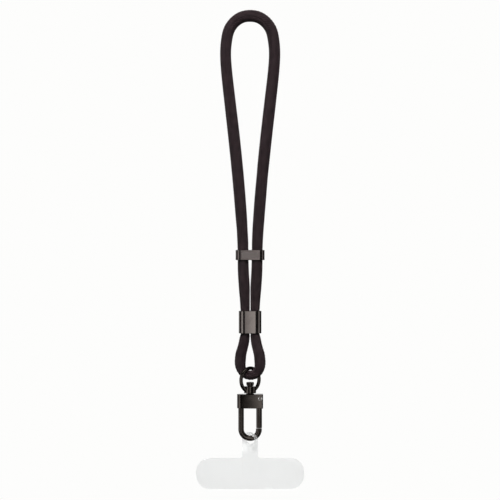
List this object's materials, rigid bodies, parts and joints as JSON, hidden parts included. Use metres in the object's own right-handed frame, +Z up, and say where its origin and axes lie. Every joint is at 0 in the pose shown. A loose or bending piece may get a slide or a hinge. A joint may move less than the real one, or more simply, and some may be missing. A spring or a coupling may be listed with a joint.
{
  "type": "phone wrist strap",
  "caption": "Braided rope wrist strap with a slider band, crimped ferrule, swivel snap hook and a clear tab that sits between phone and case.",
  "frame": {"origin": "highest point inside the wrist loop, where the strap hangs on a wrist or a hook", "axes": "+Z up along the hanging strap, +X to the right as seen from the front, +Y to the back"},
  "size_m": [0.0602, 0.0104, 0.2663],
  "materials": {
    "rope": "matt braided polyester",
    "slider_metal": "polished gunmetal plate",
    "ferrule_metal": "polished gunmetal plate",
    "hook_metal": "polished gunmetal plate on cast zinc",
    "pin_metal": "turned steel, gunmetal plate",
    "clear_plastic": "frosted clear thermoplastic polyurethane"
  },
  "bodies": {
    "strap": {"strap_rope": "rope", "slider_band": "slider_metal", "ferrule": "ferrule_metal", "swivel_ring": "hook_metal"},
    "clasp": {"swivel_post": "hook_metal", "clasp_hook": "hook_metal", "gate_pin": "pin_metal", "phone_tab": "clear_plastic"},
    "gate": {"gate": "hook_metal"}
  },
  "joints": [
    {"name": "clasp_swivel", "type": "hinge", "parent": "strap", "child": "clasp", "pos_m": [0, 0, -0.2045], "axis": [0, 0, 1], "continuous": true},
    {"name": "gate_hinge", "type": "hinge", "parent": "clasp", "child": "gate", "pos_m": [0.0056, 0, -0.20905], "axis": [0, 1, 0], "range_deg": [0, 20], "stiffness_Nm_per_rad": 0.01, "springref_deg": -11.46}
  ]
}
